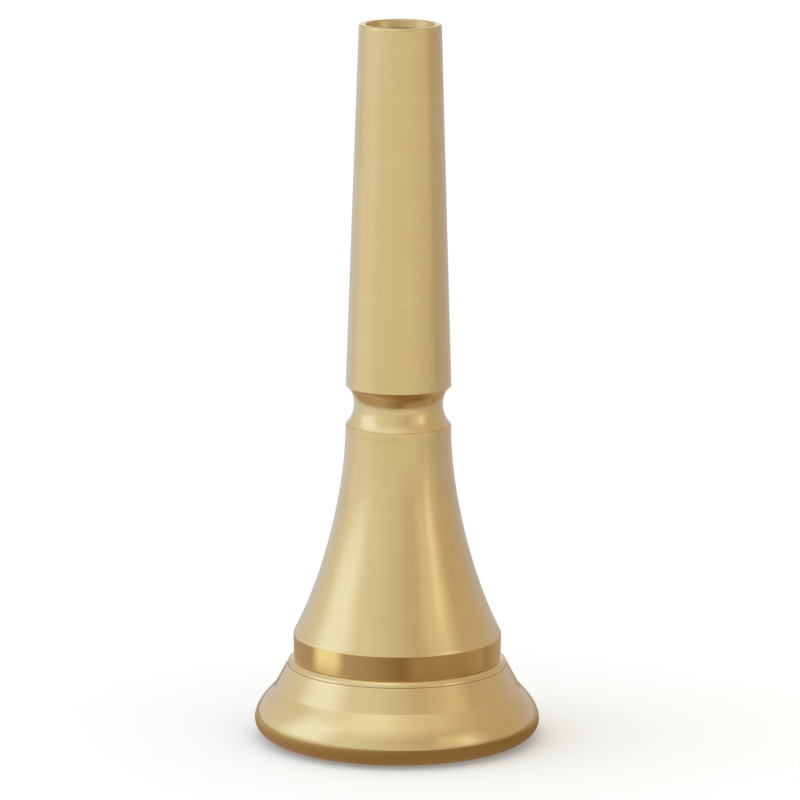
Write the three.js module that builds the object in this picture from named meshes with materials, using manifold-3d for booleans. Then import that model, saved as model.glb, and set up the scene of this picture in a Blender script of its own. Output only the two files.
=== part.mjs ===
// Brass horn mouthpiece, standing on its rim with the shank pointing up.
// Millimetres, +Z up. Origin: centre of the rim face, in the plane the rim rests on.
// Four turned pieces, stacked on one axis from the bottom up:
//   rim        rounded rim bead with a short outer cone and an internal thread
//   seat_ring  thin bevelled ring between the rim and the cup, free to turn
//   cup        funnel cup with an exposed band and a threaded spigot below it
//   shank      tapered tube with a coved neck and a taper plug that seats in the cup

import * as THREE from 'three';
import { mergeVertices } from 'three/addons/utils/BufferGeometryUtils.js';
import Module from 'manifold-3d';

const wasm = await Module();
wasm.setup();

// ---------- shared dimensions (_R radius, _Z height) ----------
const SEG = 48;                    // facets around the axis, on every piece
const LENGTH = 65.0;               // rim face to shank end
const JOINT_GAP = 0.02;            // between faces stacked on each other
const END_GAP = 0.04;              // between the end of a spigot or plug and its socket

// rim
const BITE_R = 17.56 / 2;          // just inside the bite edge
const RIM_FLAT_IN_R = 10.1;        // flat annulus the rim rests on
const RIM_FLAT_OUT_R = 10.7;
const RIM_R = 12.885;              // largest radius of the bead
const KINK_R = 11.09;              // corner where the bead meets the outer cone
const KINK_Z = 4.68;
const RIM_TOP_R = 9.94;            // top of the outer cone
const RIM_TOP_Z = 6.8;
const SOCKET_FLOOR_Z = 3.03;       // floor of the threaded socket
const SOCKET_FLOOR_R = 8.07;       // cup bore where it crosses the socket floor
const RELIEF_R = 9.03;             // runout groove and mouth of the threaded socket

// seat ring
const RING_BOT_Z = RIM_TOP_Z + JOINT_GAP;
const RING_TOP_Z = 7.28;
const RING_BOT_R = RIM_TOP_R;
const RING_CROWN_R = 9.865;        // upper edge of the steep lower bevel
const RING_CROWN_Z = 7.03;
const RING_TOP_R = 9.58;
const RING_BORE_R = 9.0;

// screw thread between rim and cup: right-hand, single start
const PITCH = 0.75;
const STEP = PITCH / SEG;          // rise of the helix across one facet
const THREAD_CLEARANCE = 0.06;     // radial
const MALE_ROOT_R = 8.5;
const MALE_CREST_R = 8.9;
const FEMALE_CREST_R = MALE_ROOT_R + THREAD_CLEARANCE;
const FEMALE_ROOT_R = MALE_CREST_R + THREAD_CLEARANCE;
const FEMALE_LAND_R = FEMALE_CREST_R - 0.16;  // bore of the land before the thread is cut
const FEMALE_Z0 = 224.5 * STEP;    // the thread ends lie half a step off the helix points
const FEMALE_Z1 = 412.5 * STEP;
const MALE_Z0 = 211.5 * STEP;
const MALE_Z1 = 406.5 * STEP;
const ROD_Z0 = 3;                  // heights each helical rod must cover before trimming
const ROD_Z1 = 7;
const TRIM_IN_R = 8.3;             // annulus the rods are trimmed to
const TRIM_OUT_R = 9.2;
const FEMALE_OVERCUT = 0.1;        // how far the female cut runs past each end of its land

// cup
const SPIGOT_END_Z = SOCKET_FLOOR_Z + END_GAP;
const SPIGOT_CORE_R = 8.44;        // just below the thread root, so thread and core overlap
const SPIGOT_CHAMFER = 0.12;
const PILOT_R = 8.95;              // plain land that centres the seat ring
const PILOT_Z = 6.62;
const BAND_BOT_Z = RING_TOP_Z + JOINT_GAP;
const BAND_BOT_R = 9.364;
const BAND_TOP_Z = 9.52;
const BAND_TOP_R = 9.38;
const CUP_TOP_Z = 28.84;
const CUP_TOP_R = 4.71;
const SOCKET_MOUTH_R = 3.66;       // female taper for the shank plug
const SOCKET_END_R = 3.49;
const SOCKET_END_Z = 24.0;
const FUNNEL_END_R = 2.86;         // funnel radius where cup and shank meet

// shank
const PLUG_CLEARANCE = 0.03;       // radial
const PLUG_END_Z = SOCKET_END_Z + END_GAP;
const PLUG_END_R = SOCKET_END_R - PLUG_CLEARANCE;
const PLUG_TOP_R = SOCKET_MOUTH_R - PLUG_CLEARANCE;
const SHOULDER_Z = CUP_TOP_Z + JOINT_GAP;
const SHOULDER_R = 4.65;
const COVE_R_LOW = 2.85;           // cove radius of the neck, below its waist
const COVE_R_HIGH = 2.48;          // and above it
const COVE_BOT_Z = SHOULDER_Z + 0.03;
const COVE_WAIST_Z = 30.72;
const COVE_TOP_Z = 32.3;
const COVE_STEPS = 10;
const NECK_R = 4.003;              // smallest radius of the neck
const SHANK_BOT_Z = 32.45;
const SHANK_BOT_R = 4.74;
const SHANK_TOP_R = 3.694;
const SHANK_TOP_Z = 64.8;
const THROAT_R = 2.4;
const BACKBORE_R = 2.9;
const BACKBORE_Z = 64.3;
const MOUTH_R = 3.2;               // bore where it opens in the end face

// ---------- solids ----------
// Manifold solid from a closed indexed geometry, turned outward-facing if it is inside out.
function solid(geometry) {
  // seam vertices merge only once normals and uvs are gone
  geometry.deleteAttribute('normal');
  geometry.deleteAttribute('uv');
  const merged = mergeVertices(geometry, 1e-5);
  const vertProperties = new Float32Array(merged.attributes.position.array);
  const triVerts = new Uint32Array(merged.index.array);

  let signedVolume = 0;            // six times the enclosed volume
  const corners = [new THREE.Vector3(), new THREE.Vector3(), new THREE.Vector3()];
  for (let i = 0; i < triVerts.length; i += 3) {
    corners.forEach((corner, k) => corner.fromArray(vertProperties, 3 * triVerts[i + k]));
    signedVolume += corners[0].dot(corners[1].cross(corners[2]));
  }
  if (signedVolume < 0) {
    for (let i = 0; i < triVerts.length; i += 3) {
      [triVerts[i], triVerts[i + 1]] = [triVerts[i + 1], triVerts[i]];
    }
  }
  return new wasm.Manifold(new wasm.Mesh({ numProp: 3, vertProperties, triVerts }));
}

// Closed body of revolution about +Z from a closed loop of [radius, height] points.
function revolve(loop) {
  const points = [...loop, loop[0]].map(([radius, z]) => new THREE.Vector2(radius, z));
  const geometry = new THREE.LatheGeometry(points, SEG);
  geometry.rotateX(Math.PI / 2);
  return solid(geometry);
}

// Solid right-hand helical rod, running past z0 and z1. shape lists [phase, radius] corners
// over one pitch, where phase counts facets of helix rise, so that every corner falls on
// the same height grid.
function helicalRod(shape, z0, z1) {
  const cornerCount = shape.length;
  const firstTurn = Math.floor(z0 / PITCH) - 2;
  const turns = Math.ceil((z1 - z0) / PITCH) + 4;
  const rows = cornerCount * turns;
  const vertexIds = new Map();
  const positions = [];
  const triangles = [];

  // Index of the vertex at a facet edge and row. A full turn lands one pitch further up.
  const vertexAt = (facet, row) => {
    if (facet === SEG) return vertexAt(0, row + cornerCount);
    const key = `${facet},${row}`;
    if (!vertexIds.has(key)) {
      const [phase, radius] = shape[row % cornerCount];
      const turn = firstTurn + Math.floor(row / cornerCount);
      const angle = (2 * Math.PI * facet) / SEG;
      vertexIds.set(key, positions.length / 3);
      positions.push(
        radius * Math.cos(angle),
        radius * Math.sin(angle),
        PITCH * turn + STEP * (phase + facet),
      );
    }
    return vertexIds.get(key);
  };

  for (let i = 0; i < SEG; i++) {
    for (let row = 0; row < rows; row++) {
      const start = vertexAt(i, row);
      const next = vertexAt(i + 1, row);
      const nextUp = vertexAt(i + 1, row + 1);
      const startUp = vertexAt(i, row + 1);
      triangles.push(start, next, nextUp, start, nextUp, startUp);
    }
  }

  // End caps: fans from a point on the axis, beyond the last turn.
  const addCap = (row, apexZ, facesUp) => {
    const apex = positions.length / 3;
    positions.push(0, 0, apexZ);
    const edge = [];
    for (let i = 0; i <= SEG; i++) edge.push(vertexAt(i, row));
    // down the step between the two ends of the turn
    for (let k = cornerCount - 1; k > 0; k--) edge.push(vertexAt(0, row + k));
    edge.forEach((vertex, k) => {
      const following = edge[(k + 1) % edge.length];
      if (facesUp) triangles.push(apex, vertex, following);
      else triangles.push(apex, following, vertex);
    });
  };
  addCap(0, PITCH * (firstTurn - 1), false);
  addCap(rows, PITCH * (firstTurn + turns + 2), true);

  const geometry = new THREE.BufferGeometry();
  geometry.setAttribute('position', new THREE.Float32BufferAttribute(positions, 3));
  geometry.setIndex(triangles);
  return solid(geometry);
}

// Thread-sized ring of a helical rod, cut off square at z0 and z1.
function threadRing(shape, z0, z1) {
  const trim = revolve([
    [TRIM_IN_R, z0], [TRIM_OUT_R, z0], [TRIM_OUT_R, z1], [TRIM_IN_R, z1],
  ]);
  return helicalRod(shape, ROD_Z0, ROD_Z1).intersect(trim);
}

// ---------- pieces ----------
// Outlines are closed loops of [radius, height].
function makeRim() {
  const body = revolve([
    // bite edge, resting flat and the outside of the bead
    [BITE_R, 1.6], [8.8, 1.15], [8.9, 0.78], [9.15, 0.4], [9.55, 0.13],
    [RIM_FLAT_IN_R, 0], [RIM_FLAT_OUT_R, 0],
    [11.24, 0.07], [11.75, 0.25], [12.22, 0.53], [12.6, 0.92], [12.82, 1.35], [RIM_R, 1.8],
    [12.83, 2.3], [12.65, 2.8], [12.34, 3.3], [11.96, 3.76], [11.52, 4.2],
    [KINK_R, KINK_Z],
    // outer cone and the seat face
    [RIM_TOP_R + 0.03, RIM_TOP_Z - 0.06], [RIM_TOP_R - 0.04, RIM_TOP_Z],
    [RELIEF_R + 0.1, RIM_TOP_Z],
    // mouth, land that carries the thread, runout groove, socket floor
    [RELIEF_R, RIM_TOP_Z - 0.12], [RELIEF_R, FEMALE_Z1], [FEMALE_LAND_R, FEMALE_Z1],
    [FEMALE_LAND_R, FEMALE_Z0], [RELIEF_R, FEMALE_Z0],
    [RELIEF_R, SOCKET_FLOOR_Z], [SOCKET_FLOOR_R, SOCKET_FLOOR_Z],
    // cup bore, back down to the bite edge
    [8.36, 2.45], [8.66, 1.95],
  ]);
  const threadCut = threadRing(
    [[5, FEMALE_CREST_R], [16, FEMALE_ROOT_R], [32, FEMALE_ROOT_R], [43, FEMALE_CREST_R]],
    FEMALE_Z0 - FEMALE_OVERCUT,
    FEMALE_Z1 + FEMALE_OVERCUT,
  );
  return body.subtract(threadCut);
}

function makeSeatRing() {
  return revolve([
    [RING_BORE_R, RING_BOT_Z + 0.05], [RING_BORE_R + 0.05, RING_BOT_Z],
    [RING_BOT_R - 0.02, RING_BOT_Z], [RING_BOT_R, RING_BOT_Z + 0.02],
    [RING_CROWN_R, RING_CROWN_Z],
    [RING_TOP_R + 0.02, RING_TOP_Z - 0.03], [RING_TOP_R - 0.08, RING_TOP_Z],
    [RING_BORE_R, RING_TOP_Z],
  ]);
}

function makeCup() {
  const body = revolve([
    // spigot end, core under the thread, pilot land
    [8.02, SPIGOT_END_Z], [SPIGOT_CORE_R - SPIGOT_CHAMFER, SPIGOT_END_Z],
    [SPIGOT_CORE_R, SPIGOT_END_Z + SPIGOT_CHAMFER],
    [SPIGOT_CORE_R, PILOT_Z], [PILOT_R, PILOT_Z], [PILOT_R, BAND_BOT_Z],
    // band
    [BAND_BOT_R - 0.04, BAND_BOT_Z], [BAND_BOT_R, BAND_BOT_Z + 0.04],
    [BAND_TOP_R, BAND_TOP_Z - 0.03], [BAND_TOP_R - 0.03, BAND_TOP_Z + 0.02],
    // outside of the cup, narrowing towards the neck
    [8.967, 10.5], [8.44, 11.6], [7.95, 12.8], [7.46, 14.15], [7.0, 15.5], [6.574, 17.0],
    [6.165, 18.5], [5.794, 20.0], [5.45, 21.8], [5.15, 23.6], [4.935, 25.3], [4.806, 27.0],
    [4.75, 28.4], [4.738, 28.8], [CUP_TOP_R, CUP_TOP_Z],
    // taper socket
    [SOCKET_MOUTH_R + 0.06, CUP_TOP_Z], [SOCKET_MOUTH_R, CUP_TOP_Z - 0.08],
    [SOCKET_END_R, SOCKET_END_Z],
    // funnel, narrow end to wide end
    [FUNNEL_END_R, SOCKET_END_Z], [3.28, 21.3], [3.85, 18.4], [4.4, 16.0], [5.0, 13.7],
    [5.6, 11.5], [6.2, 9.35], [6.82, 7.2], [7.42, 5.1],
  ]);
  const thread = threadRing(
    [[8, MALE_ROOT_R], [19, MALE_CREST_R], [29, MALE_CREST_R], [40, MALE_ROOT_R]],
    MALE_Z0,
    MALE_Z1,
  );
  return body.add(thread);
}

// Hollow of the neck, bottom to top: two arcs that meet at the waist.
function coveOutline() {
  const points = [];
  for (let k = 0; k <= COVE_STEPS; k++) {
    const z = COVE_BOT_Z + ((COVE_TOP_Z - COVE_BOT_Z) * k) / COVE_STEPS;
    const arcR = z < COVE_WAIST_Z ? COVE_R_LOW : COVE_R_HIGH;
    points.push([NECK_R + arcR - Math.sqrt(arcR ** 2 - (z - COVE_WAIST_Z) ** 2), z]);
  }
  return points;
}

function makeShank() {
  return revolve([
    // taper plug and shoulder
    [FUNNEL_END_R, PLUG_END_Z], [PLUG_END_R - 0.06, PLUG_END_Z], [PLUG_END_R, PLUG_END_Z + 0.1],
    [PLUG_TOP_R, SHOULDER_Z], [SHOULDER_R, SHOULDER_Z],
    ...coveOutline(),
    // tapered outside and rounded end
    [SHANK_BOT_R - 0.015, SHANK_BOT_Z - 0.04], [SHANK_BOT_R, SHANK_BOT_Z + 0.04],
    [SHANK_TOP_R, SHANK_TOP_Z], [3.665, 64.91], [3.595, 64.98], [3.49, LENGTH],
    // bore: lip, backbore, throat, end of the funnel
    [MOUTH_R, LENGTH], [3.08, 64.93], [3.02, 64.75], [BACKBORE_R, BACKBORE_Z],
    [THROAT_R, 30.4], [THROAT_R, 27.9], [2.55, 26.4],
  ]);
}

// ---------- assembly ----------
function brass(name, color, roughness) {
  const material = new THREE.MeshStandardMaterial({ color, roughness, metalness: 1.0 });
  material.name = name;
  return material;
}

function piece({ name, body, color, roughness }) {
  const { vertProperties, triVerts } = body.getMesh();
  const geometry = new THREE.BufferGeometry();
  geometry.setAttribute('position', new THREE.Float32BufferAttribute(vertProperties, 3));
  geometry.setIndex(new THREE.Uint32BufferAttribute(triVerts, 1));
  geometry.computeVertexNormals();
  const mesh = new THREE.Mesh(geometry, brass(name, color, roughness));
  mesh.name = name;
  return mesh;
}

const mouthpiece = new THREE.Group();
mouthpiece.name = 'horn_mouthpiece';
mouthpiece.add(
  piece({ name: 'rim', body: makeRim(), color: 0xc9ab6b, roughness: 0.3 }),
  piece({ name: 'seat_ring', body: makeSeatRing(), color: 0xd6b878, roughness: 0.2 }),
  piece({ name: 'cup', body: makeCup(), color: 0xc6a868, roughness: 0.32 }),
  piece({ name: 'shank', body: makeShank(), color: 0xc8ad70, roughness: 0.34 }),
);

export default mouthpiece;
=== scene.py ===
"""Turned brass mouthpiece in four pieces: rim, seat ring, cup and shank.

It stands rim down on the floor plane, with its axis on Z and the shank end at the top.
Outlines are in mm, as (radius, height); meshes are in metres. The camera looks along +Y.
"""

import math
from functools import reduce
from math import comb

import bpy
import numpy as np
from mathutils import Euler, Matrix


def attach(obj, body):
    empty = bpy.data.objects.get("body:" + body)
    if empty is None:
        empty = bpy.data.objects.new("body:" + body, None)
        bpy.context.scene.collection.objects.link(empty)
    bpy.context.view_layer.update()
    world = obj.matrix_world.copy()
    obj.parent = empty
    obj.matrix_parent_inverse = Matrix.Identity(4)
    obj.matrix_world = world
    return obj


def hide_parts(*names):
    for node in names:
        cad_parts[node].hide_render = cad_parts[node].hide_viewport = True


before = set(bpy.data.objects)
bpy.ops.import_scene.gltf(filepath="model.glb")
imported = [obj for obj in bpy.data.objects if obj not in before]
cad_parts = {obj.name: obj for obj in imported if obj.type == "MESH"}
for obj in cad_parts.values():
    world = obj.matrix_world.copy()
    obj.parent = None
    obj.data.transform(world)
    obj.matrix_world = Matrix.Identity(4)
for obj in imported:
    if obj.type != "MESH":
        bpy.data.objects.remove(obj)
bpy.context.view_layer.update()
scene = bpy.context.scene

MM = 0.001
SEGMENTS = 256  # round the axis
FILLET_STEPS = 5

# Support rows, in mm: straight runs longer than LONG_RUN get a row SUPPORT_INSET from
# each end, and rows between them no more than about ROW_SPACING apart.
LONG_RUN = 0.25
SUPPORT_INSET = 0.03
ROW_SPACING = 1.5


# ------------------------------------------------------------------
# outlines: closed loops of (radius, height, fillet radius) corners
# ------------------------------------------------------------------
def bernstein(control, t):
    """Bezier curve through control values, which may be numbers or points."""
    degree = len(control) - 1
    return sum(
        np.multiply.outer(comb(degree, k) * (t**k * (1 - t) ** (degree - k)), value)
        for k, value in enumerate(np.array(control, float))
    )


def bezier(control, steps):
    return [tuple(point) for point in bernstein(control, np.linspace(0, 1, steps + 1))]


def sharp(points):
    """Points as corners without a fillet."""
    return [(radius, z, 0) for radius, z in points]


def rows(radius, start_z, end_z, step=0.045):
    """Close rows on a cylinder, fine enough to carry a thread."""
    count = int(abs(end_z - start_z) / step)
    return [(radius, start_z + (end_z - start_z) * k / count, 0) for k in range(count + 1)]


def rounded(corners):
    """Loop of (radius, height) with an arc at each corner that has a fillet."""
    loop = []
    for i, (radius, z, fillet) in enumerate(corners):
        corner = np.array([radius, z])
        if fillet <= 0:
            loop.append(tuple(corner))
            continue
        back = np.array(corners[i - 1][:2]) - corner
        ahead = np.array(corners[(i + 1) % len(corners)][:2]) - corner
        back_length, ahead_length = np.linalg.norm(back), np.linalg.norm(ahead)
        back, ahead = back / back_length, ahead / ahead_length
        angle = math.acos(max(-1, min(1, float(back @ ahead))))
        # a fillet never takes more than 0.48 of either side
        cut = min(fillet / math.tan(angle / 2), 0.48 * back_length, 0.48 * ahead_length)
        fillet = cut * math.tan(angle / 2)
        middle = (back + ahead) / np.linalg.norm(back + ahead)
        centre = corner + middle * (fillet / math.sin(angle / 2))
        start, end = corner + back * cut - centre, corner + ahead * cut - centre
        sweep = math.atan2(start[0] * end[1] - start[1] * end[0], float(start @ end))
        for k in range(FILLET_STEPS + 1):
            turn = sweep * k / FILLET_STEPS
            cos, sin = math.cos(turn), math.sin(turn)
            loop.append(
                (
                    centre[0] + cos * start[0] - sin * start[1],
                    centre[1] + sin * start[0] + cos * start[1],
                )
            )
    return loop


def supported(loop):
    """Adds rows on long straight runs, so that smooth shading stays flat there."""
    out = []
    for i, point in enumerate(loop):
        start, end = np.array(point), np.array(loop[(i + 1) % len(loop)])
        out.append(tuple(start))
        length = np.linalg.norm(end - start)
        if length > LONG_RUN:
            along = (end - start) / length
            out.append(tuple(start + along * SUPPORT_INSET))
            count = int(length / ROW_SPACING)
            inside = length - 2 * SUPPORT_INSET
            for j in range(1, count + 1):
                out.append(tuple(start + along * (SUPPORT_INSET + inside * j / (count + 1))))
            out.append(tuple(end - along * SUPPORT_INSET))
    return out


def turned(name, corners, body, part, shift=None):
    """Closed turned body. shift(angle, height, radius) moves the surface, for threads."""
    loop = np.array(supported(rounded(corners)), float)
    after = np.roll(loop, -1, axis=0)
    area = 0.5 * np.sum(loop[:, 0] * after[:, 1] - after[:, 0] * loop[:, 1])
    if area < 0:
        loop = loop[::-1]
    count = len(loop)
    angle = (np.arange(SEGMENTS) * 2 * np.pi / SEGMENTS)[:, None]
    radius = np.repeat(loop[None, :, 0], SEGMENTS, 0)
    z = np.repeat(loop[None, :, 1], SEGMENTS, 0)
    if shift is not None:
        radius = radius + shift(angle, z, radius)
    points = np.stack([radius * np.cos(angle), radius * np.sin(angle), z], -1) * MM
    i = np.repeat(np.arange(SEGMENTS), count)
    j = np.tile(np.arange(count), SEGMENTS)
    i_next, j_next = (i + 1) % SEGMENTS, (j + 1) % count
    faces = np.stack(
        [i * count + j, i_next * count + j, i_next * count + j_next, i * count + j_next], -1
    )
    mesh = bpy.data.meshes.new(name)
    mesh.from_pydata(points.reshape(-1, 3).tolist(), [], faces.tolist())
    mesh.update()
    mesh.shade_smooth()
    obj = bpy.data.objects.new(name, mesh)
    scene.collection.objects.link(obj)
    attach(obj, body)
    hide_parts(part)
    return obj


# ------------------------------------------------------------------
# screw thread between rim and cup: right-hand, one start
# ------------------------------------------------------------------
PITCH = 0.75
THREAD_DEPTH = 0.40
SPIGOT_R = 8.5
SPIGOT_THREAD_Z = (3.30, 6.36)
SOCKET_R = 8.56
RELIEF_R = 9.03  # wider recess at each end of the socket
RADIUS_MARGIN = 0.03  # rows this close to a thread's radius belong to it


def smooth(x):
    x = np.clip(x, 0, 1)
    return x * x * (3 - 2 * x)


def ridge(angle, z, rise, fall):
    """0 to 1 height of a helical ridge. Rise and fall are spans in 48ths of a pitch."""
    phase = np.mod((z / PITCH - angle / (2 * np.pi)) * 48.0, 48.0)
    up = smooth((phase - rise[0]) / (rise[1] - rise[0]))
    return up * (1 - smooth((phase - fall[0]) / (fall[1] - fall[0])))


def spigot_thread(angle, z, radius):
    on = np.abs(radius - SPIGOT_R) < RADIUS_MARGIN
    low, high = SPIGOT_THREAD_Z
    fade = smooth((z - low) / 0.35) * smooth((high - z) / 0.25)
    return np.where(on, THREAD_DEPTH * ridge(angle, z, (8, 19), (29, 40)) * fade, 0.0)


def socket_thread(angle, z, radius):
    inner, outer = SOCKET_R - RADIUS_MARGIN, SOCKET_R + RADIUS_MARGIN
    on = (radius > inner) & (radius < outer) & (z > 3.45) & (z < 6.5)
    # the groove also runs out through the flat faces at both ends
    end_faces = ((z > 3.50) & (z < 3.545)) | ((z > 6.42) & (z < 6.455))
    ends = (radius >= outer) & (radius < RELIEF_R) & end_faces
    depth = THREAD_DEPTH * ridge(angle, z, (5, 16), (32, 43))
    run_out = depth * (RELIEF_R - radius) / (RELIEF_R - SOCKET_R)
    return np.where(on, depth, np.where(ends, run_out, 0.0))


# ------------------------------------------------------------------
# rim: rounded bead, short cone above it, threaded socket inside
# ------------------------------------------------------------------
RIM_MOUTH = (8.79, 1.3)
RIM_WIDEST = (12.883, 1.74)
BEAD_TOP = (11.09, 4.68)
RIM_TOP_Z = 6.80
SOCKET_FLOOR_Z = 3.03

rim_corners = (
    sharp(bezier([RIM_MOUTH, (8.79, 0.45), (9.3, 0.0), (10.0, 0.0)], 12))
    + sharp(bezier([(10.55, 0.0), (11.75, 0.0), (12.883, 0.68), RIM_WIDEST], 24))
    + sharp(bezier([RIM_WIDEST, (12.883, 3.01), (11.608, 4.07), BEAD_TOP], 28)[1:-1])
    + [(*BEAD_TOP, 0.1)]
    + [(9.955, RIM_TOP_Z, 0.045), (9.12, RIM_TOP_Z, 0.04), (RELIEF_R, 6.66, 0.03)]
    + [(RELIEF_R, 6.445, 0.0), (8.66, 6.445, 0.0), (8.565, 6.43, 0.0)]
    + rows(SOCKET_R, 6.40, 3.56)
    + [(8.565, 3.53, 0.0), (8.66, 3.51, 0.0), (RELIEF_R, 3.508, 0.03)]
    + [(RELIEF_R, SOCKET_FLOOR_Z, 0.04), (8.07, SOCKET_FLOOR_Z, 0.03)]
    + sharp(bezier([(8.10, 2.95), (8.33, 2.35), (8.79, 1.85), RIM_MOUTH], 12)[:-1])
)
rim = turned("rim_brass", rim_corners, "rim_body", "rim", socket_thread)

# ------------------------------------------------------------------
# seat ring: bevelled, round the spigot between rim and cup
# ------------------------------------------------------------------
RING_R = 9.0  # hole
RING_Z = (6.808, 7.29)

ring_corners = [
    (RING_R, RING_Z[0], 0.04),
    (9.945, RING_Z[0], 0.035),
    (9.865, 7.03, 0.14),
    (9.60, 7.26, 0.10),
    (9.44, RING_Z[1], 0.05),
    (RING_R, RING_Z[1], 0.03),
]
ring = turned("seat_ring_brass", ring_corners, "ring_body", "seat_ring")

# ------------------------------------------------------------------
# cup: funnel inside, band, threaded spigot below
# ------------------------------------------------------------------
SPIGOT_END_Z = 3.07
BAND_Z = 7.30
CUP_CURVE_Z = (9.55, 28.5)
CUP_CURVE_R = [9.419, 7.468, 6.339, 5.421, 4.775, 4.755]  # evenly spaced in height
CUP_TOP_Z = 28.853
THROAT_R = 2.86  # where funnel and shank bore meet
THROAT_Z = 24.0

cup_z = np.linspace(9.66, CUP_CURVE_Z[1], 96)
cup_t = (cup_z - CUP_CURVE_Z[0]) / (CUP_CURVE_Z[1] - CUP_CURVE_Z[0])
cup_corners = (
    [(8.30, SPIGOT_END_Z, 0.06), (8.44, 3.2, 0.05), (8.46, 3.27, 0.0)]
    + rows(SPIGOT_R, *SPIGOT_THREAD_Z)
    + [(8.46, 6.40, 0.0), (8.44, 6.45, 0.04), (8.44, 6.60, 0.05), (8.95, 6.66, 0.06)]
    + [(8.95, BAND_Z, 0.03), (9.348, BAND_Z, 0.04), (9.395, 9.51, 0.03)]
    + sharp(zip(bernstein(CUP_CURVE_R, cup_t), cup_z))
    + [(4.738, CUP_TOP_Z, 0.02), (3.72, CUP_TOP_Z, 0.05)]
    + [(3.655, 28.72, 0.05), (3.49, THROAT_Z, 0.02)]
    + sharp(bezier([(THROAT_R, THROAT_Z), (3.62, 19.2), (4.85, 14.5), (8.02, SPIGOT_END_Z)], 60))
)
cup = turned("cup_brass", cup_corners, "cup_body", "cup", spigot_thread)

# ------------------------------------------------------------------
# shank: taper plug, coved neck, tapered tube
# ------------------------------------------------------------------
PLUG_END_Z = 24.045
SHOULDER_Z = 28.858
SHANK_TOP_Z = 65.0
BORE_R = 2.40
BORE_BEND_Z = 28.4  # the bore widens from here down to the throat
NECK_R, NECK_Z = 4.003, 30.72  # narrowest point
COVE_R_BELOW, COVE_R_ABOVE = 2.85, 2.48


def cove_radius(z):
    arc = COVE_R_BELOW if z < NECK_Z else COVE_R_ABOVE
    return NECK_R + arc - math.sqrt(arc**2 - (z - NECK_Z) ** 2)


bore = [(BORE_R, z) for z in (31.2, 30.3, 29.2, BORE_BEND_Z)]
flare = [(BORE_R, BORE_BEND_Z), (BORE_R, 27.2), (2.52, 25.9), (THROAT_R, PLUG_END_Z)]
shank_corners = (
    [(THROAT_R, PLUG_END_Z, 0.04), (3.40, PLUG_END_Z, 0.06), (3.46, 24.16, 0.04)]
    + [(3.625, SHOULDER_Z, 0.03), (4.712, SHOULDER_Z, 0.02)]
    + sharp((cove_radius(z), z) for z in np.linspace(28.885, 32.24, 40))
    + [(4.742, 32.37, 0.04)]
    + [(3.69, SHANK_TOP_Z, 0.22), (3.06, SHANK_TOP_Z, 0.16), (2.90, 64.3, 0.3)]
    + sharp(bezier(bore, 8))
    + sharp(bezier(flare, 10)[1:-1])
)
shank = turned("shank_brass", shank_corners, "shank_body", "shank")


# ------------------------------------------------------------------
# shader node helpers
# ------------------------------------------------------------------
class Nodes:
    def __init__(self, tree, output):
        self.tree = tree
        tree.nodes.clear()
        self.output = self.new(output)

    def new(self, kind, inputs=None, **props):
        node = self.tree.nodes.new("ShaderNode" + kind)
        for key, value in props.items():
            setattr(node, key, value)
        for key, value in (inputs or {}).items():
            self.put(node.inputs[key], value)
        return node

    def put(self, socket, value):
        if isinstance(value, bpy.types.NodeSocket):
            self.tree.links.new(value, socket)
        else:
            socket.default_value = value

    def math(self, operation, *values, clamp=False):
        inputs = dict(enumerate(values))
        return self.new("Math", inputs, operation=operation, use_clamp=clamp).outputs[0]

    def add(self, a, b):
        return self.math("ADD", a, b)

    def sub(self, a, b):
        return self.math("SUBTRACT", a, b)

    def mul(self, a, b):
        return self.math("MULTIPLY", a, b)

    def swing(self, noise, by):
        """Noise centred on zero and scaled."""
        return self.mul(self.sub(noise, 0.5), by)

    def blend(self, fac, a, b):
        return self.add(self.mul(self.sub(1.0, fac), a), self.mul(fac, b))

    def ramp(self, value, start, end, out_start=0.0, out_end=1.0):
        inputs = {
            "Value": value,
            "From Min": start,
            "From Max": end,
            "To Min": out_start,
            "To Max": out_end,
        }
        node = self.new("MapRange", inputs, interpolation_type="SMOOTHSTEP", clamp=True)
        return node.outputs["Result"]

    def mix(self, fac, a, b):
        return self.new("Mix", {0: fac, 6: a, 7: b}, data_type="RGBA").outputs[2]

    def noise(self, at, scale, detail, rough, dims="3D"):
        inputs = {
            "W" if dims == "1D" else "Vector": at,
            "Scale": scale,
            "Detail": detail,
            "Roughness": rough,
        }
        return self.new("TexNoise", inputs, noise_dimensions=dims).outputs["Fac"]

    def stretched(self, vector, scale):
        return self.new("Mapping", {"Vector": vector, "Scale": scale}).outputs[0]

    def split(self, vector):
        return self.new("SeparateXYZ", {0: vector}).outputs

    def length_xy(self, x, y):
        return self.math("SQRT", self.add(self.mul(x, x), self.mul(y, y)))

    def scale(self, vector, factor):
        return self.new("VectorMath", {0: vector, "Scale": factor}, operation="SCALE").outputs[0]

    def add_vectors(self, a, b):
        return self.new("VectorMath", {0: a, 1: b}, operation="ADD").outputs[0]

    def finish(self, reflected, seen):
        """Output of one shader to the camera and another to every other ray."""
        is_camera = self.new("LightPath").outputs["Is Camera Ray"]
        mixed = self.new("MixShader", {0: is_camera, 1: reflected, 2: seen})
        self.put(self.output.inputs["Surface"], mixed.outputs[0])


# ------------------------------------------------------------------
# materials: lathe-turned brass
# ------------------------------------------------------------------
BRASS_WARM = (0.74, 0.54, 0.24, 1.0)
BRASS_PALE = (0.85, 0.70, 0.40, 1.0)
# painted shade: a dull dark brass colour for inner walls, standing in for shade inside the bore
BRASS_INNER_SHADE = (0.52, 0.37, 0.16, 1.0)
WARMTH = 0.36  # mean share of the warm colour
BAND_BLUR = 0.03  # mm, each side of a band's edges
INNER_DULL = 0.10  # roughness added on inner walls
INNER_SHADE_SHARE = 0.35  # share of the painted shade colour on inner walls, darkening the bore


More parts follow.
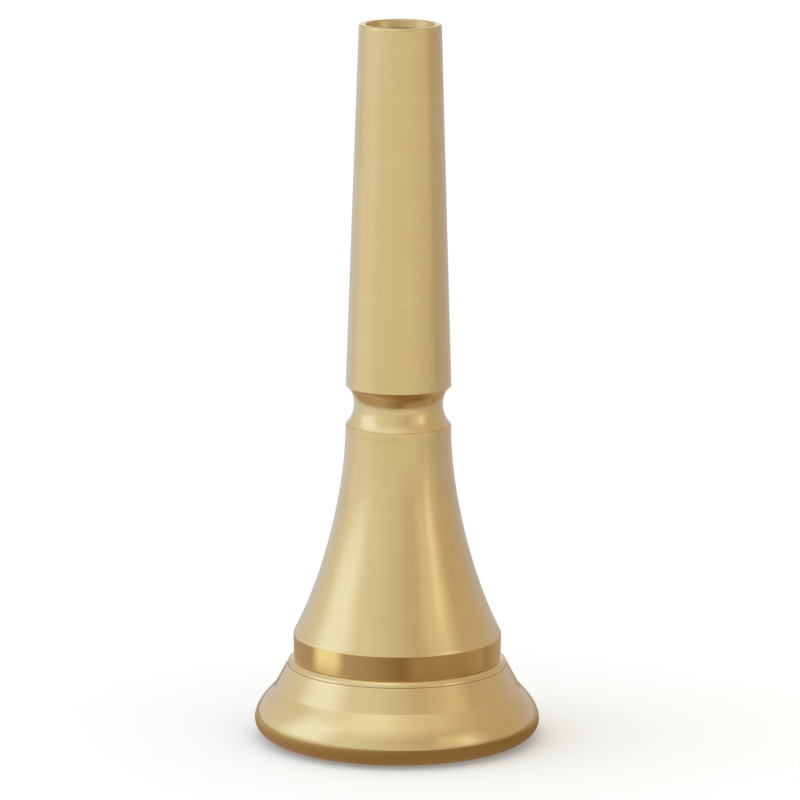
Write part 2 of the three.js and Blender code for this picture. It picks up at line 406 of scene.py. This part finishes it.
def tool_marks(nodes, place, along):
    """Turning lines at two spacings, and marks that break up a little round the turn."""
    fine = nodes.noise(along, scale=16.0, detail=2.0, rough=0.6, dims="1D")
    medium = nodes.noise(along, scale=4.2, detail=3.0, rough=0.6, dims="1D")
    flattened = nodes.stretched(place, scale=(120.0, 120.0, 5200.0))
    broken = nodes.noise(flattened, scale=1.0, detail=3.0, rough=0.6)
    return nodes.add(
        nodes.swing(fine, by=0.5),
        nodes.add(nodes.swing(medium, by=0.35), nodes.swing(broken, by=0.8)),
    )


def inner_walls(nodes, normal, x, y, radius):
    """1 where the surface faces the axis, 0 elsewhere."""
    outward = nodes.new("CombineXYZ")
    for i, coordinate in enumerate((x, y)):
        unit = nodes.math("DIVIDE", coordinate, nodes.math("MAXIMUM", radius, 1e-6))
        nodes.put(outward.inputs[i], unit)
    facing = nodes.new("VectorMath", {0: normal, 1: outward.outputs[0]}, operation="DOT_PRODUCT")
    return nodes.ramp(facing.outputs["Value"], start=-0.25, end=-0.7)


def brass(name, rough, aniso, grain, seed, band=None):
    """Turned brass. band is a stretch of height, in mm, with a finish of its own."""
    material = bpy.data.materials.new(name)
    material.use_nodes = True
    nodes = Nodes(material.node_tree, "OutputMaterial")
    coords = nodes.new("TexCoord")
    place = coords.outputs["Object"]
    x, y, z = nodes.split(place)
    z_mm = nodes.mul(z, 1000.0)
    radius = nodes.length_xy(x, y)
    radius_mm = nodes.mul(radius, 1000.0)
    # near enough the path along the outline, so marks ring both sides and end faces
    along = nodes.add(nodes.add(z_mm, nodes.mul(radius_mm, 0.83)), seed)

    if band:
        bottom, top = band["bottom"], band["top"]
        inside = nodes.mul(
            nodes.ramp(z_mm, bottom - BAND_BLUR, bottom + BAND_BLUR),
            nodes.sub(1.0, nodes.ramp(z_mm, top - BAND_BLUR, top + BAND_BLUR)),
        )
        rough = nodes.blend(inside, rough, band["rough"])
        aniso = nodes.blend(inside, aniso, band["aniso"])
        grain = nodes.blend(inside, grain, band["grain"])

    lines = tool_marks(nodes, place, along)
    wide = nodes.noise(along, scale=0.7, detail=2.0, rough=0.5, dims="1D")
    # handling: cloudy patches, faint wiping streaks along the axis, and specks
    cloud = nodes.noise(place, scale=140.0, detail=4.0, rough=0.55)
    drawn_out = nodes.stretched(place, scale=(900.0, 900.0, 60.0))
    streak = nodes.noise(drawn_out, scale=1.0, detail=3.0, rough=0.5)
    speck = nodes.noise(place, scale=2600.0, detail=2.0, rough=0.7)
    inner = inner_walls(nodes, coords.outputs["Normal"], x, y, radius)

    def marks(by):
        return nodes.mul(nodes.mul(lines, grain), by)

    rough = nodes.add(rough, nodes.mul(inner, INNER_DULL))
    rough = nodes.add(rough, marks(by=0.07))
    rough = nodes.add(rough, nodes.swing(cloud, by=0.06))
    rough = nodes.add(rough, nodes.swing(streak, by=0.03))

    tone = nodes.add(
        nodes.swing(cloud, by=1.0), nodes.add(nodes.swing(wide, by=0.2), marks(by=0.35))
    )
    tone = nodes.add(tone, nodes.swing(speck, by=0.2))
    tone = nodes.add(tone, nodes.swing(streak, by=0.5))
    warmth = nodes.math("ADD", nodes.mul(tone, 0.55), WARMTH, clamp=True)
    colour = nodes.mix(warmth, BRASS_PALE, BRASS_WARM)
    # painted shade: inner walls darkened towards the dull dark brass colour
    colour = nodes.mix(nodes.mul(inner, INNER_SHADE_SHARE), colour, BRASS_INNER_SHADE)

    relief = {"Strength": 1.0, "Distance": 0.000004, "Height": nodes.mul(lines, grain)}
    surface = {
        "Base Color": colour,
        "Metallic": 1.0,
        "Roughness": nodes.math("MAXIMUM", rough, 0.05),
        "Anisotropic": aniso,
        "Anisotropic Rotation": 0.25,
        "Tangent": nodes.new("Tangent", direction_type="RADIAL", axis="Z").outputs[0],
        "Normal": nodes.new("Bump", relief).outputs[0],
    }
    shader = nodes.new("BsdfPrincipled", surface)
    nodes.put(nodes.output.inputs["Surface"], shader.outputs[0])
    return material


CUP_BAND = dict(bottom=7.2, top=9.57, rough=0.12, aniso=0.3, grain=0.4)
for piece, finish in (
    (shank, dict(name="brass_shank", rough=0.17, aniso=0.5, grain=1.0, seed=3.1)),
    (cup, dict(name="brass_cup", rough=0.18, aniso=0.5, grain=1.0, seed=11.7, band=CUP_BAND)),
    (ring, dict(name="brass_ring", rough=0.14, aniso=0.3, grain=0.4, seed=23.9)),
    (rim, dict(name="brass_rim", rough=0.14, aniso=0.3, grain=0.7, seed=37.3)),
):
    piece.data.materials.append(brass(**finish))

# ------------------------------------------------------------------
# studio: soft panels round the object, and a table top
# ------------------------------------------------------------------
# Soft-edged patches that add up. Columns: arc as (centre azimuth, half width, softness) in
# degrees, lower edge and upper edge as (place, softness), colour. None leaves a side open.
# Azimuth 0 is -Y, towards the camera; negative is towards -X.
BACK_ARC = (180, 49.2, 30.0)
# edges are elevations in degrees
PANELS = [
    (None, None, None, (0.587, 0.502, 0.377)),
    ((-75.5, 70.1, 53.4), None, None, (0.236, 0.325, 0.400)),
    ((-83.8, 21.1, 13.2), (6.1, 7.9), (50.1, 24.8), (0.230, 0.321, 0.519)),
    ((54.9, 20.5, 10.8), (2.8, 10.3), (39.1, 18.8), (0.189, 0.217, 0.202)),
    ((59.8, 5.9, 4.4), (-6.0, 8.0), (28.4, 19.9), (0.185, 0.214, 0.216)),
    ((11.4, 88.0, 54.9), (51.0, 36.0), None, (0.225, 0.240, 0.260)),
    ((6.8, 21.1, 13.5), None, (8.6, 7.9), (0.050, 0.045, 0.085)),
    (BACK_ARC, None, None, (0.0, 0.0, 0.05)),
    (BACK_ARC, None, (18, 28), (0.02, 0.06, 0.20)),
    ((180, 10.0, 9.0), (-5, 6), (15, 12), (0.28, 0.28, 0.21)),
]
# Light and shade painted on the table top, seen only in reflections; edges are distances from
# the axis in mm.
# A painted shadow of the object, dark and warm, close in; lit table, pale, further out.
AXIS = (-20, 2)
PALE_EDGE = (76.0, 18.0)
TABLE_LIGHT_AND_SHADE = [
    (None, AXIS, PALE_EDGE, (0.249, 0.154, 0.069)),
    (None, PALE_EDGE, None, (0.535, 0.478, 0.444)),
    ((55.3, 43.4, 9.4), (32.2, 8.1), PALE_EDGE, (0.167, 0.134, 0.090)),
    ((-106.5, 58.7, 36.8), PALE_EDGE, None, (0.157, 0.226, 0.325)),
    ((2.0, 56.0, 36.0), (105.0, 50.0), None, (0.225, 0.260, 0.160)),
    ((-85.7, 26.0, 14.0), (116.3, 80.4), None, (0.125, 0.115, 0.045)),
    ((180, 50.0, 30.0), (110.0, 80.0), None, (0.02, 0.05, 0.14)),
    ((74.0, 10.0, 6.0), (300.0, 180.0), None, (0.10, 0.088, 0.06)),
    ((-137.0, 119.9, 35.6), (18.2, 14.5), PALE_EDGE, (0.230, 0.220, 0.190)),
    ((-30, 100, 60), AXIS, (26.0, 10.0), (0.036, 0.034, 0.030)),
    ((-85, 45, 30), AXIS, (28.0, 10.0), (0.055, 0.050, 0.040)),
]
# sheen on the table top, reflected only at a low angle
SHEEN = [((-76.5, 16.5, 8.0), (34.5, 7.0), (50.0, 12.0), (0.600, 0.670, 0.530))]


def soft_sum(nodes, azimuth, across, patches):
    """Adds up patches laid out over azimuth and a second coordinate."""
    total = None
    for arc, lower, upper, colour in patches:
        masks = []
        if arc:
            centre, half, soft = arc
            turn = nodes.math("FLOORED_MODULO", nodes.add(azimuth, 540.0 - centre), 360.0)
            off = nodes.math("ABSOLUTE", nodes.sub(turn, 180.0))
            masks.append(nodes.ramp(off, half - soft, half + soft, 1.0, 0.0))
        for edge, ends in ((lower, (0.0, 1.0)), (upper, (1.0, 0.0))):
            if edge:
                at, soft = edge
                masks.append(nodes.ramp(across, at - soft / 2, at + soft / 2, *ends))
        patch = nodes.scale(colour, reduce(nodes.mul, masks) if masks else 1.0)
        total = patch if total is None else nodes.add_vectors(total, patch)
    return total


def in_degrees(nodes, angle):
    return nodes.mul(angle, 180.0 / math.pi)


def azimuth_of(nodes, x, y):
    return in_degrees(nodes, nodes.math("ARCTAN2", x, nodes.mul(y, -1.0)))


def build_world():
    """Panels for light and reflections; plain white to the camera."""
    world = bpy.data.worlds.new("studio")
    scene.world = world
    world.use_nodes = True
    nodes = Nodes(world.node_tree, "OutputWorld")
    panels = nodes.new("Background")
    white = nodes.new("Background", {"Color": (1, 1, 1, 1), "Strength": 1.05})
    nodes.finish(reflected=panels.outputs[0], seen=white.outputs[0])
    generated = nodes.new("TexCoord").outputs["Generated"]
    direction = nodes.new("VectorMath", {0: generated}, operation="NORMALIZE")
    x, y, z = nodes.split(direction.outputs[0])
    elevation = in_degrees(nodes, nodes.math("ARCSINE", z))
    light = soft_sum(nodes, azimuth_of(nodes, x, y), elevation, PANELS)
    nodes.put(panels.inputs["Color"], light)


FLOOR_HALF = 20.0  # m
FLOOR_Z = -1e-5  # m
# balances the panels' own tints so that the open floor comes out neutral
FLOOR_TINT = (1.12, 1.175, 1.26)
# share of the tint lost where the object crowds the floor, on top of the cast shadow
SHADE = (0.48, 0.45, 0.40)
SHADE_REACH = 0.040  # m
LIFT = {"Color": (0.93, 0.97, 1.0, 1), "Strength": 0.20}  # faint glow under the diffuse


def seen_floor(nodes):
    """The pale floor that the camera sees."""
    openness = nodes.new("AmbientOcclusion", {"Distance": SHADE_REACH}, samples=8)
    tint = {
        0: openness.outputs["AO"],
        1: [colour * shade for colour, shade in zip(FLOOR_TINT, SHADE)],
        2: [colour * (1.0 - shade) for colour, shade in zip(FLOOR_TINT, SHADE)],
    }
    tinted = nodes.new("VectorMath", tint, operation="MULTIPLY_ADD")
    diffuse = nodes.new("BsdfDiffuse", {"Color": tinted.outputs[0]})
    lift = nodes.new("Emission", LIFT)
    return nodes.new("AddShader", {0: diffuse.outputs[0], 1: lift.outputs[0]}).outputs[0]


def reflected_floor(nodes):
    """Painted light and shade of the table top, which only the brass's reflections see."""
    x, y, _ = nodes.split(nodes.new("NewGeometry").outputs["Position"])
    distance = nodes.mul(nodes.length_xy(x, y), 1000.0)
    azimuth = azimuth_of(nodes, x, y)
    ray_z = nodes.split(nodes.new("NewGeometry").outputs["Incoming"])[2]
    dip = nodes.math("ABSOLUTE", ray_z)
    low = nodes.ramp(dip, start=0.36, end=0.50, out_start=1.0, out_end=0.0)
    # at a glancing angle the close-in part in front looks as pale as the rest
    front = nodes.ramp(
        nodes.math("ABSOLUTE", azimuth), start=35.0, end=92.0, out_start=1.0, out_end=0.0
    )
    glancing = nodes.ramp(dip, start=0.09, end=0.18, out_start=70.0, out_end=0.0)
    shifted = nodes.add(distance, nodes.mul(front, glancing))
    sheen = nodes.scale(soft_sum(nodes, azimuth, distance, SHEEN), low)
    tones = nodes.add_vectors(soft_sum(nodes, azimuth, shifted, TABLE_LIGHT_AND_SHADE), sheen)
    return nodes.new("Emission", {"Color": tones}).outputs[0]


def build_floor():
    mesh = bpy.data.meshes.new("floor")
    square = [(-1, -1), (1, -1), (1, 1), (-1, 1)]
    corners = [(x * FLOOR_HALF, y * FLOOR_HALF, FLOOR_Z) for x, y in square]
    mesh.from_pydata(corners, [], [(0, 1, 2, 3)])
    floor = bpy.data.objects.new("floor", mesh)
    scene.collection.objects.link(floor)
    material = bpy.data.materials.new("floor")
    material.use_nodes = True
    nodes = Nodes(material.node_tree, "OutputMaterial")
    seen = seen_floor(nodes)
    nodes.finish(reflected=reflected_floor(nodes), seen=seen)
    material.cycles.emission_sampling = "NONE"
    mesh.materials.append(material)
    floor.visible_diffuse = False


# ------------------------------------------------------------------
# camera: long lens, in front at -Y and looking slightly down
# ------------------------------------------------------------------
CAMERA_PLACE = (0.0, -0.5189, 0.13393)  # m
CAMERA_DOWN = 11.224  # degrees below level
CAMERA_ROLL = 0.280  # degrees


def build_camera():
    data = bpy.data.cameras.new("camera")
    data.sensor_width = 36.0
    data.lens = 265.176
    data.shift_x = 0.00189
    data.shift_y = 0.0006
    data.clip_start = 0.01
    data.clip_end = 50
    camera = bpy.data.objects.new("camera", data)
    scene.collection.objects.link(camera)
    camera.location = CAMERA_PLACE
    camera.rotation_mode = "QUATERNION"
    tilt = Euler((math.radians(90 - CAMERA_DOWN), 0, 0)).to_quaternion()
    roll = Euler((0, 0, math.radians(CAMERA_ROLL))).to_quaternion()
    camera.rotation_quaternion = tilt @ roll
    scene.camera = camera


build_world()
build_floor()
build_camera()
scene.view_settings.view_transform = "Standard"
scene.view_settings.look = "None"
